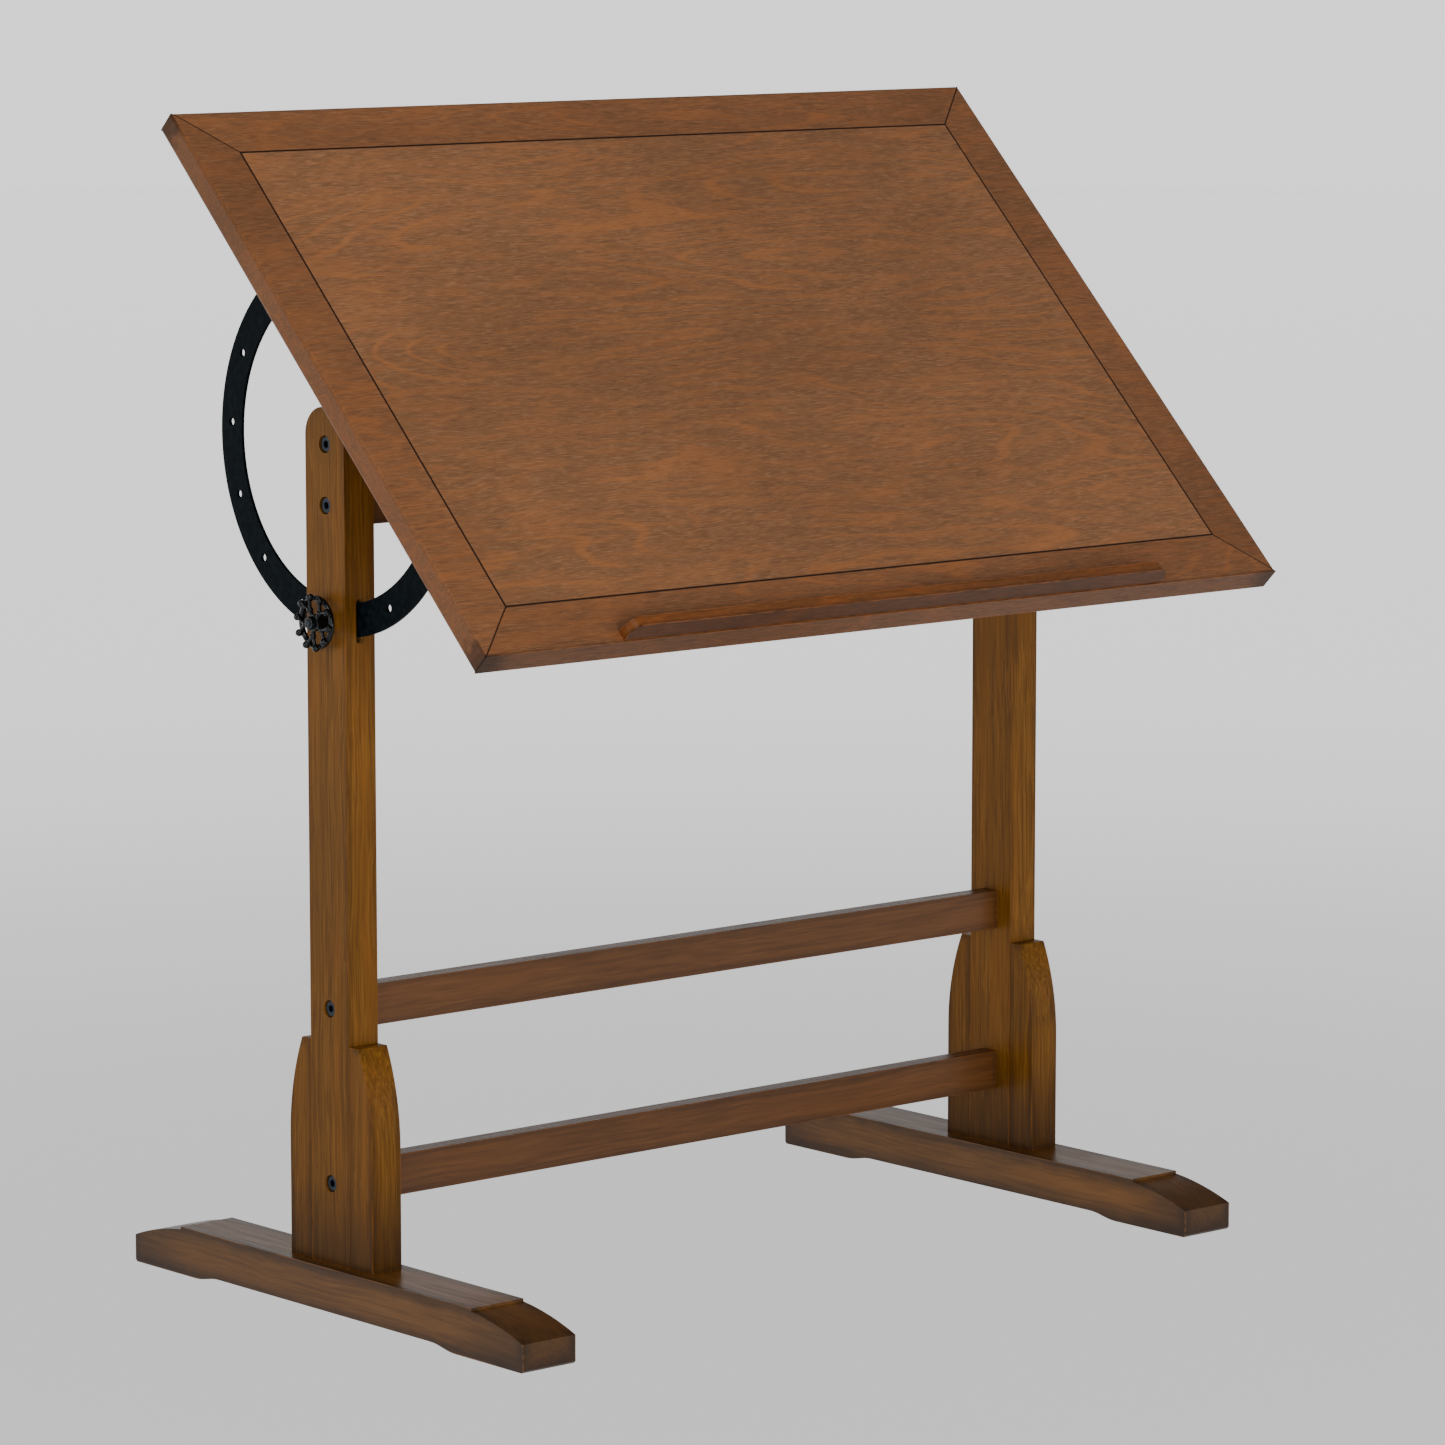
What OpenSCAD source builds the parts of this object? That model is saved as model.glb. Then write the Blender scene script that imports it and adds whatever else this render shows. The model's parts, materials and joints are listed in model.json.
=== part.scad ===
// Wooden drafting table: two posts on long feet, three rails, and a mitred top
// that tilts on two pivot bolts. A drilled steel arc under each end of the top
// passes through a slot in its post, where a handwheel screw clamps it.
// X runs along the width, -Y is the side where the user sits, Z is up.
// The origin is on the floor, under the middle of the whole table.

/* [Table top] */
// Width of the top, side to side
top_w = 914.4; // [860:0.1:1100]
// Depth of the top, front edge to back edge
top_d = 600; // [560:1:680]
// Thickness of the top's boards
top_t = 22; // [20:1:26]
// Width of the mitred border boards
border_w = 48; // [40:1:60]
// How far the middle of the top lies in front of the pivot line
top_forward = 5; // [0:1:20]
// Thickness of the loose tongues between panel and border
spline_t = 4; // [3:0.5:5]
// Width of the loose tongues
spline_w = 16; // [12:1:20]

/* [Pencil ledge] */
// Length of the ledge
ledge_w = 622; // [400:1:700]
// Height of the ledge above the work surface
ledge_h = 19; // [12:1:25]
// Thickness of the ledge
ledge_t = 10; // [9:1:14]
// Distance from the front edge of the top to the ledge
ledge_set_back = 1; // [0:0.5:4]
// Radius of the ledge's upper corners
ledge_corner_r = 15; // [5:1:18]

/* [Tilt] */
// Tilt of the top in the rest position, from horizontal
rest_tilt = 45; // [30:1:60]
// Height of the pivot line above the floor
pivot_z = 751; // [720:1:780]
// Distance from the pivot line to the work surface
pivot_to_face = 95; // [90:1:110]

/* [Posts] */
// Distance over the outer faces of the posts
frame_w = 808.4; // [760:0.1:830]
// Thickness of a post, along the width of the table
post_t = 31.5; // [28:0.5:36]
// Depth of a post, front to back
post_d = 53.4; // [50:0.1:60]
// Height of the posts' upper ends above the pivot line
post_above_pivot = 31.5; // [28:0.5:40]
// Radius of the posts' upper corners
post_corner_r = 24.5; // [10:0.5:25]

/* [Wings] */
// Width of the boards glued to the front and back of each post
wing_w = 30.8; // [25:0.1:40]
// Height where the wing's outer edge starts to curve inwards
wing_straight_z = 150; // [120:1:180]
// Height of the wing's upper end
wing_top_z = 237; // [200:1:240]
// Radius of the wing's outer curve
wing_curve_r = 219; // [180:1:260]

/* [Feet] */
// Length of a foot, front to back
foot_l = 548; // [500:1:600]
// Width of a foot
foot_w = 56.5; // [50:0.5:70]
// Height of a foot under the post
foot_h = 43; // [38:1:50]
// How far a foot stands out past its post's outer face
foot_overhang = 11; // [5:1:12.5]
// Length of the raised flat on top of a foot
foot_flat_l = 411; // [380:1:430]
// Height of the small step at the end of the raised flat
foot_step = 2.5; // [1:0.5:4]
// Height of a foot's ends
foot_end_h = 24.5; // [18:0.5:30]
// Radius of the curve from the step down to a foot's end
foot_curve_r = 270; // [200:5:400]
// Length of the pad that rests on the floor at each end
foot_pad_l = 90; // [60:1:110]
// Length of the curve between a pad and the arch
foot_run_l = 34; // [20:1:50]
// Height of the arch between the pads
foot_arch_h = 4.5; // [2:0.5:8]

/* [Rails] */
// Height of a rail, edge to edge
rail_h = 36; // [32:1:45]
// Thickness of a rail, front to back
rail_t = 18; // [17:1:25]
// Height of the top rail's middle
top_rail_z = 699; // [695:1:700]
// Height of the middle rail's middle
middle_rail_z = 266.5; // [240:0.5:500]
// Height of the lower rail's middle
lower_rail_z = 114; // [110:1:120]

/* [Tilt arcs] */
// Inner radius of an arc
arc_inner_r = 136.4; // [134:0.1:140]
// Outer radius of an arc
arc_outer_r = 165; // [160:0.5:168]
// Thickness of the arc's steel plate
arc_t = 3; // [2:0.5:3.5]
// Diameter of the holes along an arc
arc_hole_d = 7; // [5:0.5:9]
// Angle between neighbouring holes
arc_hole_step = 24; // [20:1:26]
// Number of holes along an arc
arc_holes = 9; // [5:2:9]
// Width of the foot bent out at each end of an arc
arc_tab_w = 25; // [20:1:30]
// Width of the slot in the post
slot_w = 8; // [5:0.5:9]
// Room above and below the arc in the slot
slot_room = 3.5; // [2:0.5:5]

/* [Tilt cheeks] */
// Thickness of a cheek board
cheek_t = 22; // [20:1:26]
// Length of a cheek board along the underside
cheek_l = 400; // [380:5:440]
// Depth of a cheek's long part below the top
cheek_batten_h = 22; // [20:1:24]
// Half width of the lug where it meets the long part
cheek_lug_w = 55; // [45:1:60]
// Radius of the lug's nose around the pivot
cheek_nose_r = 22; // [18:1:24]
// Gap between a cheek and the washers beside it
cheek_gap = 0.3; // [0.2:0.1:0.5]

/* [Handwheels] */
// Diameter over the handwheel's lobes
wheel_d = 50; // [44:1:54]
// Thickness of the handwheel's rim
wheel_rim_t = 5; // [4:0.2:6]
// Number of forked spokes; the rim has two lobes for each
wheel_spokes = 5; // [4:1:6]
// Distance from the post's face to the middle of the rim
wheel_out = 10; // [9:0.5:14]
// How far the lobes stand out past the middle of the rim
lobe_rise = 4; // [2:0.5:4]
// How far the hub stands out past the middle of the rim
hub_rise = 5; // [5:0.5:8]
// How far the wheel is turned from having a spoke straight to the back
wheel_turn = -10; // [-36:1:36]
// Diameter of the handwheel's hub
hub_d = 15; // [13:0.5:16]
// Gap between the clamp screw's end and the arc at rest
clamp_gap = 0.3; // [0.2:0.1:0.5]

/* [Hidden] */
$fn = 64;

// Colours
wood = "#8a5a30";
dark_wood = "#6b4629";
top_wood = "#7d5438";
black = "#15181c";
brass = "#b8924a";
steel = "#9a9ca0";

// Shared hardware sizes
bolt_d = 8;
bolt_hole_d = 8.4;
bolt_head_d = 13;
bolt_head_h = 8;
socket_af = 6;
socket_depth = 4.5;
recess_d = 15;
recess_depth = 9.5;
nut_af = 13;
nut_h = 7;
run_gap = 0.05;
cut = 1;

// The top in its own frame: y runs up its slope and z along its normal, from the pivot
top_front = top_d / 2 + top_forward;
top_back = top_d / 2 - top_forward;
under_z = pivot_to_face - top_t;
panel_x = top_w / 2 - border_w;
panel_front = top_front - border_w;
panel_back = top_back - border_w;

// Where the posts stand, so that the whole table is centred over the origin
ledge_reach = (pivot_to_face + ledge_h) * sin(rest_tilt) + (top_front - ledge_set_back) * cos(rest_tilt);
top_reach = pivot_to_face * sin(rest_tilt) + top_front * cos(rest_tilt);
front_reach = max(foot_l / 2, ledge_reach, top_reach);
back_reach = max(foot_l / 2, top_back * cos(rest_tilt) - under_z * sin(rest_tilt));
post_y = (front_reach - back_reach) / 2;

// Posts
post_out_x = frame_w / 2;
post_in_x = post_out_x - post_t;
post_mid_x = post_out_x - post_t / 2;
bolt_seat_x = post_out_x - recess_depth;

// Rail joints
rail_bolt_l = 60;
barrel_d = 10;
barrel_l = 15;
barrel_depth = 16;
barrel_x = bolt_seat_x - rail_bolt_l + 10;
rail_hole_end_x = bolt_seat_x - rail_bolt_l - 2;
dowel_d = 6;
dowel_l = 30;
dowel_rise = 11.5;
rail_heights = [top_rail_z, middle_rail_z, lower_rail_z];

// Foot joints
foot_x = post_out_x + foot_overhang - foot_w / 2;
lag_y = 15;
lag_l = 86;
lag_recess_d = 22;
lag_recess_top = 18.5;
washer_d = 20;
washer_t = 2;
lag_head_h = 5.3;
wing_screw_y = 42;
wing_screw_d = 5;
wing_screw_l = 60;
wing_recess_d = 11;
wing_recess_top = 24.5;
wing_head_d = 9.5;
wing_head_h = 3;

// Pivots, outward from the middle of the table
pivot_washer_d = 24;
cheek_out_x = post_in_x - washer_t - cheek_gap;
cheek_in_x = cheek_out_x - cheek_t;
end_washer_x = cheek_in_x - cheek_gap - washer_t;
pivot_bolt_end_x = end_washer_x - nut_h - 2;
bush_d = 12;
cheek_low_z = under_z - cheek_batten_h;

// Arcs
arc_mid_r = (arc_inner_r + arc_outer_r) / 2;
arc_low_z = under_z - arc_t;
tab_in_y = sqrt(arc_inner_r * arc_inner_r - arc_low_z * arc_low_z) - 1;
tab_out_y = sqrt(arc_outer_r * arc_outer_r - arc_low_z * arc_low_z) + 1;
tab_x = post_mid_x + arc_t / 2 + arc_tab_w / 3;
tab_screw_y = [tab_in_y + 9, tab_out_y - 9];
tab_screw_d = 4;
tab_screw_l = 17;

// Screws in the top
cheek_screw_y = [105, 175];
cheek_screw_d = 4.5;
cheek_screw_recess = 5;
cheek_screw_l = 32;
screw_head_d = 8.5;
screw_head_h = 2.8;
ledge_screw_x = [90, 270];
ledge_screw_d = 3.5;
ledge_screw_recess = 3;
ledge_screw_l = 30;
ledge_head_d = 7;
ledge_head_h = 2.2;

// Clamps
clamp_z = pivot_z - arc_mid_r;
clamp_d = 6;
insert_d = 10;
insert_l = 11;
clamp_washer_d = 18;
clamp_washer_t = 1.6;
hub_in_x = post_out_x + clamp_washer_t;
rim_x = post_out_x + wheel_out;
hub_out_x = rim_x + hub_rise;
lobe_r = 3.2;
lobe_ring_r = wheel_d / 2 - lobe_r;
rim_r = lobe_ring_r - 1;
spoke_r = 2.1;
prong_r = 1.6;
knuckle_r = 2.9;
fork_r = 12;
fork_rise = 2.7;
wheel_nut_af = 10;
wheel_nut_h = 4;
clamp_in_x = post_mid_x + arc_t / 2 + clamp_gap;
clamp_out_x = hub_out_x + wheel_nut_h + 1;

// Points on the arc of radius r from p to q, bulging to the left of the way
function bulge(p, q, r, steps) =
    let (d = q - p,
        half = norm(d) / 2,
        away = sqrt(r * r - half * half),
        c = (p + q) / 2 + away * [d.y, -d.x] / norm(d),
        a = atan2(p.y - c.y, p.x - c.x),
        b = atan2(q.y - c.y, q.x - c.x))
    [for (i = [0:steps]) c + r * [cos(a + (b - a) * i / steps), sin(a + (b - a) * i / steps)]];

// A list of points followed by its mirror image
function both_sides(half) =
    concat(half, [for (i = [len(half) - 1:-1:0]) [-half[i].x, half[i].y]]);

module left() { mirror([1, 0, 0]) children(); }

// A shape drawn in the plane of Y and Z, made thick along X from x0 to x1
module along_x(x0, x1) {
    translate([x0, post_y, 0]) rotate([90, 0, 90]) linear_extrude(x1 - x0) children();
}

// A cylinder along X from x0 to x1, through the post line at height z
module rod_x(x0, x1, z, d, sides = 64) {
    translate([x0, post_y, z]) rotate([0, 90, 0]) cylinder(d = d, h = x1 - x0, $fn = sides);
}

// Draws what follows in the top's own frame
module on_top() {
    translate([0, post_y, pivot_z]) rotate([rest_tilt, 0, 0]) children();
}

// A hexagonal prism of the given width across flats
module hex(af, h) { cylinder(d = af / cos(30), h = h, $fn = 6); }

// A socket-head bolt along +Z, its head's seat at z = 0
module socket_bolt(l) {
    difference() {
        union() {
            cylinder(d = bolt_head_d, h = bolt_head_h);
            translate([0, 0, -l]) cylinder(d = bolt_d, h = l + cut);
        }
        translate([0, 0, bolt_head_h - socket_depth]) hex(socket_af, socket_depth + cut);
    }
}

// A screw pointing along +Z, its head's seat at z = 0
module screw_up(d, l, head_d, head_h) {
    cylinder(d = d, h = l - d);
    translate([0, 0, l - d]) cylinder(d1 = d, d2 = d / 5, h = d);
    translate([0, 0, -head_h]) cylinder(d = head_d, h = head_h);
}

// ---- Stand ----

foot_half = foot_l / 2;
step_y = foot_flat_l / 2;
pad_y = foot_half - foot_pad_l;
foot_profile = both_sides(concat(
    [[0, foot_arch_h]],
    [for (i = [0:8]) [pad_y - foot_run_l * (1 - i / 8), foot_arch_h * (1 + cos(180 * i / 8)) / 2]],
    [[foot_half - 2, 0], [foot_half, 2]],
    [for (p = bulge([-foot_half, foot_end_h], [-step_y, foot_h - foot_step], foot_curve_r, 14))
        [-p.x, p.y]],
    [[step_y, foot_h], [0, foot_h]]));

module right_foot_body() {
    color(dark_wood)
    difference() {
        along_x(foot_x - foot_w / 2, foot_x + foot_w / 2) polygon(foot_profile);
        for (side = [-1, 1]) {
            translate([post_mid_x, post_y + side * lag_y, -cut]) {
                cylinder(d = bolt_d, h = foot_h + 2 * cut);
                cylinder(d = lag_recess_d, h = lag_recess_top + cut);
            }
            translate([post_mid_x, post_y + side * wing_screw_y, -cut]) {
                cylinder(d = wing_screw_d, h = foot_h + 2 * cut);
                cylinder(d = wing_recess_d, h = wing_recess_top + cut);
            }
        }
    }
}

post_top_z = pivot_z + post_above_pivot;
post_half = post_d / 2;
flat_half = post_half - post_corner_r;

module post_outline() {
    translate([-post_half, foot_h]) square([post_d, post_top_z - post_corner_r - foot_h]);
    translate([-flat_half, foot_h]) square([2 * flat_half, post_top_z - foot_h]);
    for (side = [-1, 1]) {
        translate([side * flat_half, post_top_z - post_corner_r]) circle(r = post_corner_r);
    }
}

// The slot that the arc runs through, from the front of the post to the back
module arc_slot() {
    low = pivot_z - arc_outer_r - slot_room;
    high = pivot_z - arc_inner_r + slot_room + arc_inner_r
        - sqrt(arc_inner_r * arc_inner_r - post_half * post_half);
    translate([post_mid_x, post_y + post_half + cut, 0]) rotate([90, 0, 0])
    linear_extrude(post_d + 2 * cut) {
        translate([-slot_w / 2, low + slot_w / 2]) square([slot_w, high - low - slot_w]);
        translate([0, low + slot_w / 2]) circle(d = slot_w);
        translate([0, high - slot_w / 2]) circle(d = slot_w);
    }
}

module right_post_body() {
    color(wood)
    difference() {
        along_x(post_in_x, post_out_x) post_outline();
        for (z = concat([pivot_z], rail_heights)) {
            rod_x(post_in_x - cut, post_out_x, z, bolt_hole_d);
            rod_x(bolt_seat_x, post_out_x + cut, z, recess_d);
        }
        for (z = rail_heights, side = [-1, 1]) {
            rod_x(post_in_x - cut, post_in_x + dowel_l / 2, z + side * dowel_rise, dowel_d);
        }
        for (side = [-1, 1]) {
            translate([post_mid_x, post_y + side * lag_y, foot_h - cut]) {
                cylinder(d = bolt_d, h = lag_recess_top - washer_t + lag_l - foot_h + cut);
            }
        }
        arc_slot();
        rod_x(post_mid_x, post_out_x, clamp_z, clamp_d + 0.6);
        rod_x(post_out_x - insert_l, post_out_x + cut, clamp_z, insert_d);
    }
}

wing_outline = concat(
    [[post_half, foot_h], [post_half + wing_w, foot_h]],
    [for (i = [0:12])
        let (a = asin((wing_top_z - wing_straight_z) / wing_curve_r) * i / 12)
        [post_half + wing_w - wing_curve_r * (1 - cos(a)), wing_straight_z + wing_curve_r * sin(a)]],
    [[post_half, wing_top_z]]);

// One wing of the right-hand post: side is -1 in front and 1 behind
module wing(side) {
    color(wood)
    difference() {
        along_x(post_in_x, post_out_x) scale([side, 1]) polygon(wing_outline);
        translate([post_mid_x, post_y + side * wing_screw_y, foot_h - cut]) {
            cylinder(d = wing_screw_d, h = wing_recess_top + wing_screw_l - foot_h + cut);
        }
    }
}

module rail(z) {
    color(dark_wood)
    difference() {
        translate([-post_in_x, post_y - rail_t / 2, z - rail_h / 2]) {
            cube([2 * post_in_x, rail_t, rail_h]);
        }
        for (side = [0, 1]) mirror([side, 0, 0]) {
            rod_x(rail_hole_end_x, post_in_x + cut, z, bolt_hole_d);
            for (up = [-1, 1]) {
                rod_x(post_in_x - dowel_l / 2, post_in_x + cut, z + up * dowel_rise, dowel_d);
            }
            translate([barrel_x, post_y + rail_t / 2 + cut, z]) rotate([90, 0, 0]) {
                cylinder(d = barrel_d, h = barrel_depth + cut);
            }
        }
    }
}

// Draws the right-hand piece and its mirror image at each rail's height
module at_rail_ends() {
    for (z = rail_heights, side = [0, 1]) mirror([side, 0, 0]) translate([0, 0, z]) children();
}

module rail_bolts() {
    color(black)
    at_rail_ends() translate([bolt_seat_x, post_y, 0]) rotate([0, 90, 0]) socket_bolt(rail_bolt_l);
}

module rail_barrel_nuts() {
    color(steel)
    at_rail_ends() difference() {
        translate([barrel_x, post_y + rail_t / 2 - 0.5, 0]) rotate([90, 0, 0]) {
            cylinder(d = barrel_d, h = barrel_l);
        }
        rod_x(barrel_x - barrel_d, barrel_x + barrel_d, 0, bolt_d);
    }
}

module rail_dowels() {
    color(wood)
    at_rail_ends() for (up = [-1, 1]) {
        rod_x(post_in_x - dowel_l / 2, post_in_x + dowel_l / 2, up * dowel_rise, dowel_d);
    }
}

// Draws the piece that follows on both feet, in front of and behind the post's middle
module under_posts(y, z) {
    for (x = [-post_mid_x, post_mid_x], side = [-1, 1]) {
        translate([x, post_y + side * y, z]) children();
    }
}

module foot_bolts() {
    color(steel)
    under_posts(lag_y, lag_recess_top - washer_t) {
        cylinder(d = bolt_d, h = lag_l - bolt_d / 2);
        translate([0, 0, lag_l - bolt_d / 2]) cylinder(d1 = bolt_d, d2 = 2, h = bolt_d / 2);
        translate([0, 0, -lag_head_h]) hex(nut_af, lag_head_h);
    }
}

module foot_washers() {
    color(steel)
    under_posts(lag_y, lag_recess_top - washer_t) difference() {
        cylinder(d = washer_d, h = washer_t);
        translate([0, 0, -cut]) cylinder(d = bolt_d, h = washer_t + 2 * cut);
    }
}

module wing_screws() {
    color(steel)
    under_posts(wing_screw_y, wing_recess_top) {
        screw_up(wing_screw_d, wing_screw_l, wing_head_d, wing_head_h);
    }
}

// ---- Pivots ----

module pivot_bolt() {
    color(black)
    translate([bolt_seat_x, post_y, pivot_z]) rotate([0, 90, 0]) {
        socket_bolt(bolt_seat_x - pivot_bolt_end_x);
    }
}

module pivot_bush() {
    color(brass)
    difference() {
        rod_x(cheek_in_x, cheek_out_x, pivot_z, bush_d);
        rod_x(cheek_in_x - cut, cheek_out_x + cut, pivot_z, bolt_d + 2 * run_gap);
    }
}

// The spacer between post and cheek, and the washer under the nut
module pivot_washers() {
    color(steel)
    for (x = [post_in_x - washer_t, end_washer_x]) difference() {
        rod_x(x, x + washer_t, pivot_z, pivot_washer_d);
        rod_x(x - cut, x + washer_t + cut, pivot_z, bolt_d);
    }
}

module pivot_nut() {
    color(steel)
    difference() {
        translate([end_washer_x - nut_h, post_y, pivot_z]) rotate([0, 90, 0]) hex(nut_af, nut_h);
        rod_x(end_washer_x - nut_h - cut, end_washer_x + cut, pivot_z, bolt_d);
    }
}

// ---- Tilting top, drawn flat in its own frame ----

// The loose tongues' boxes, which the panel and border are grooved for
module splines() {
    z = pivot_to_face - top_t / 2 - spline_t / 2;
    end = spline_w;
    for (y = [-panel_front, panel_back]) {
        translate([end - panel_x, y - spline_w / 2, z]) {
            cube([2 * (panel_x - end), spline_w, spline_t]);
        }
    }
    for (x = [-panel_x, panel_x]) {
        translate([x - spline_w / 2, end - panel_front, z]) {
            cube([spline_w, panel_front + panel_back - 2 * end, spline_t]);
        }
    }
}

module screw_places(xs, ys, z) {
    for (x = xs, side = [-1, 1], y = ys) translate([side * x, y, z]) children();
}

module border_splines() {
    color(wood) on_top() splines();
}

module board(points) {
    translate([0, 0, under_z]) linear_extrude(top_t) polygon(points);
}

module centre_panel() {
    color(top_wood)
    on_top() difference() {
        board([[-panel_x, -panel_front], [panel_x, -panel_front], [panel_x, panel_back],
            [-panel_x, panel_back]]);
        splines();
        screw_places([(cheek_in_x + cheek_out_x) / 2], both_ways(cheek_screw_y), under_z - cut) {
            cylinder(d = cheek_screw_d, h = cheek_screw_l - cheek_batten_h + cheek_screw_recess + cut);
        }
        screw_places([tab_x], both_ways(tab_screw_y), under_z - cut) {
            cylinder(d = tab_screw_d, h = tab_screw_l - arc_t + cut);
        }
    }
}

function both_ways(list) = concat([for (v = list) -v], list);

module front_border() {
    color(top_wood)
    on_top() difference() {
        board([[-top_w / 2, -top_front], [top_w / 2, -top_front], [panel_x, -panel_front],
            [-panel_x, -panel_front]]);
        splines();
        screw_places(ledge_screw_x, [ledge_mid_y], under_z - cut) {
            cylinder(d = ledge_screw_d, h = top_t + 2 * cut);
            cylinder(d = ledge_head_d + 1, h = ledge_screw_recess + cut);
        }
    }
}

module back_border() {
    color(top_wood)
    on_top() difference() {
        board([[-top_w / 2, top_back], [top_w / 2, top_back], [panel_x, panel_back],
            [-panel_x, panel_back]]);
        splines();
    }
}

module side_border() {
    color(top_wood)
    on_top() difference() {
        board([[top_w / 2, -top_front], [top_w / 2, top_back], [panel_x, panel_back],
            [panel_x, -panel_front]]);
        splines();
    }
}

ledge_front = ledge_set_back - top_front;
ledge_mid_y = ledge_front + ledge_t / 2;

module pencil_ledge() {
    half = ledge_w / 2;
    round_x = half - ledge_corner_r;
    color(top_wood)
    on_top() difference() {
        translate([0, ledge_front + ledge_t, pivot_to_face]) rotate([90, 0, 0])
        linear_extrude(ledge_t) {
            translate([-half, 0]) square([ledge_w, ledge_h - ledge_corner_r]);
            translate([-round_x, 0]) square([2 * round_x, ledge_h]);
            for (side = [-1, 1]) {
                translate([side * round_x, ledge_h - ledge_corner_r]) {
                    intersection() {
                        circle(r = ledge_corner_r);
                        translate([-ledge_h, ledge_corner_r - ledge_h]) square([2 * ledge_h, ledge_h]);
                    }
                }
            }
        }
        screw_places(ledge_screw_x, [ledge_mid_y], pivot_to_face - cut) {
            cylinder(d = ledge_screw_d, h = ledge_screw_l + ledge_screw_recess - top_t + cut);
        }
    }
}

module ledge_screws() {
    color(steel)
    on_top() screw_places(ledge_screw_x, [ledge_mid_y], under_z + ledge_screw_recess) {
        screw_up(ledge_screw_d, ledge_screw_l, ledge_head_d, ledge_head_h);
    }
}

// The lug's straight sides run from its corners to where they touch the nose circle
corner_a = atan2(cheek_lug_w, cheek_low_z);
touch_a = corner_a + acos(cheek_nose_r / norm([cheek_lug_w, cheek_low_z]));
cheek_outline = both_sides(concat(
    [for (i = [0.5:16]) let (a = 180 + (touch_a - 180) * i / 15.5) cheek_nose_r * [sin(a), cos(a)]],
    [[cheek_lug_w, cheek_low_z],
     [cheek_l / 2 - 8, cheek_low_z],
     [cheek_l / 2, cheek_low_z + 8],
     [cheek_l / 2, under_z]]));

module tilt_cheek() {
    color(dark_wood)
    on_top() difference() {
        translate([cheek_in_x, 0, 0]) rotate([90, 0, 90]) linear_extrude(cheek_t) {
            polygon(cheek_outline);
        }
        translate([cheek_in_x - cut, 0, 0]) rotate([0, 90, 0]) {
            cylinder(d = bush_d, h = cheek_t + 2 * cut);
        }
        for (y = both_ways(cheek_screw_y)) {
            translate([(cheek_in_x + cheek_out_x) / 2, y, cheek_low_z - cut]) {
                cylinder(d = cheek_screw_d, h = cheek_batten_h + 2 * cut);
                cylinder(d = screw_head_d + 1, h = cheek_screw_recess + cut);
            }
        }
    }
}

module cheek_screws() {
    color(steel)
    on_top() screw_places([(cheek_in_x + cheek_out_x) / 2], both_ways(cheek_screw_y),
        cheek_low_z + cheek_screw_recess) {
        screw_up(cheek_screw_d, cheek_screw_l, screw_head_d, screw_head_h);
    }
}

// ---- Tilt arcs ----

module tilt_arc() {
    color(black)
    on_top() difference() {
        union() {
            translate([post_mid_x - arc_t / 2, 0, 0]) rotate([0, 90, 0]) intersection() {
                difference() {
                    cylinder(r = arc_outer_r, h = arc_t, $fn = 128);
                    translate([0, 0, -cut]) cylinder(r = arc_inner_r, h = arc_t + 2 * cut, $fn = 128);
                }
                translate([-under_z, -top_d / 2, 0]) cube([under_z + top_d / 2, top_d, arc_t]);
            }
            for (side = [-1, 1]) {
                translate([post_mid_x - arc_t / 2, side * (tab_in_y + tab_out_y) / 2, arc_low_z]) {
                    translate([0, (tab_in_y - tab_out_y) / 2, 0]) {
                        cube([arc_t + arc_tab_w, tab_out_y - tab_in_y, arc_t]);
                    }
                }
            }
        }
        for (i = [0:arc_holes - 1]) {
            a = 90 + arc_hole_step * (i - (arc_holes - 1) / 2);
            translate([post_mid_x - arc_t, -arc_mid_r * cos(a), -arc_mid_r * sin(a)]) {
                rotate([0, 90, 0]) cylinder(d = arc_hole_d, h = 2 * arc_t);
            }
        }
        for (y = both_ways(tab_screw_y)) {
            translate([tab_x, y, arc_low_z - cut]) cylinder(d = tab_screw_d, h = arc_t + 2 * cut);
        }
    }
}

module arc_screws() {
    color(steel)
    on_top() screw_places([tab_x], both_ways(tab_screw_y), arc_low_z) {
        screw_up(tab_screw_d, tab_screw_l, screw_head_d, screw_head_h);
    }
}

// ---- Clamps ----

module clamp_insert() {
    color(brass)
    difference() {
        rod_x(post_out_x - insert_l, post_out_x, clamp_z, insert_d);
        rod_x(post_out_x - insert_l - cut, post_out_x + cut, clamp_z, clamp_d + 2 * run_gap);
    }
}

module clamp_washer() {
    color(black)
    difference() {
        rod_x(post_out_x, post_out_x + clamp_washer_t, clamp_z, clamp_washer_d);
        rod_x(post_out_x - cut, post_out_x + clamp_washer_t + cut, clamp_z, clamp_d + 2 * run_gap);
    }
}

module clamp_screw() {
    color(black) rod_x(clamp_in_x, clamp_out_x, clamp_z, clamp_d);
}

module wheel_nut() {
    color(black)
    difference() {
        translate([hub_out_x, post_y, clamp_z]) rotate([0, 90, 0]) hex(wheel_nut_af, wheel_nut_h);
        rod_x(hub_out_x - cut, hub_out_x + wheel_nut_h + cut, clamp_z, clamp_d);
    }
}

// A round bar from p to q
module bar(p, q, r) {
    d = q - p;
    translate(p) rotate([0, acos(d.z / norm(d)), atan2(d.y, d.x)]) cylinder(r = r, h = norm(d), $fn = 24);
}

// A point of the wheel at radius r, turned by angle a, at height h over the rim's middle
function wheel_point(r, a, h) = [r * cos(a), r * sin(a), h];

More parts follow.
